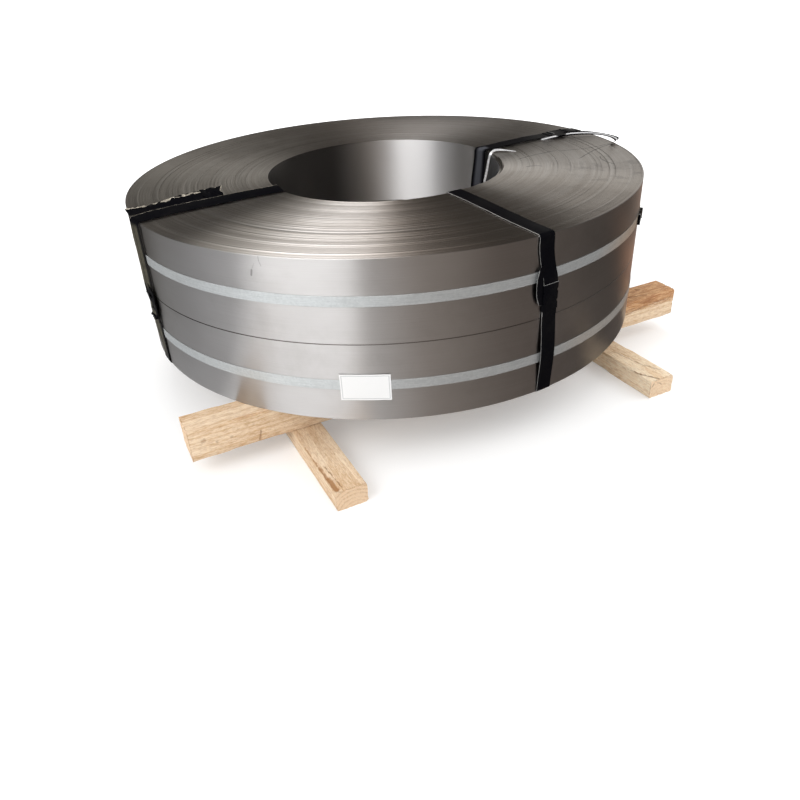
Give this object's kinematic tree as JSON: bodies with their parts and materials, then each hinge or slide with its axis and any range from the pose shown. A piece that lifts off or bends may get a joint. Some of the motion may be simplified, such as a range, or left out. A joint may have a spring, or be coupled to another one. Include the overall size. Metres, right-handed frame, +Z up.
{
  "type": "steel coil",
  "caption": "Slit steel coils lying flat with the eye upwards, banded into one pack with steel straps and seals, and carried clear of the floor on crossed timber bearers.",
  "frame": {"origin": "on the coil axis at floor level, which is the bottom centre of the bounding box", "axes": "+Z up along the coil axis, +X along the upper bearers, which is the longest extent"},
  "size_m": [1.16, 1.12, 0.4253],
  "materials": {
    "strip_steel": "cold rolled strip, satin, with fine concentric turn lines on the ends and a faint warm reflection",
    "galvanised_strap": "dull blue-grey zinc coating",
    "black_strap": "semi-gloss black strapping paint, worn bright along the edges",
    "bare_strap": "bright bare strip",
    "label_paper": "blank white label with a faint printed border",
    "sawn_pine": "rough sawn pine with knots, saw marks and dark end grain"
  },
  "bodies": {
    "root": {"coil_lower": "strip_steel", "coil_upper": "strip_steel", "girth_strap_lower": "galvanised_strap", "girth_strap_upper": "galvanised_strap", "girth_seal_lower": "black_strap", "girth_seal_upper": "black_strap", "eye_strap_left": "black_strap", "eye_strap_front": "black_strap", "eye_strap_rear": "black_strap", "eye_seal_left": "black_strap", "eye_seal_front": "black_strap", "eye_seal_rear": "black_strap", "top_seal_left": "black_strap", "strap_tail_left": "black_strap", "bare_strap_tail": "bare_strap", "label": "label_paper", "upper_bearer_front": "sawn_pine", "upper_bearer_rear": "sawn_pine", "lower_bearer_left": "sawn_pine", "lower_bearer_right": "sawn_pine"}
  },
  "joints": []
}
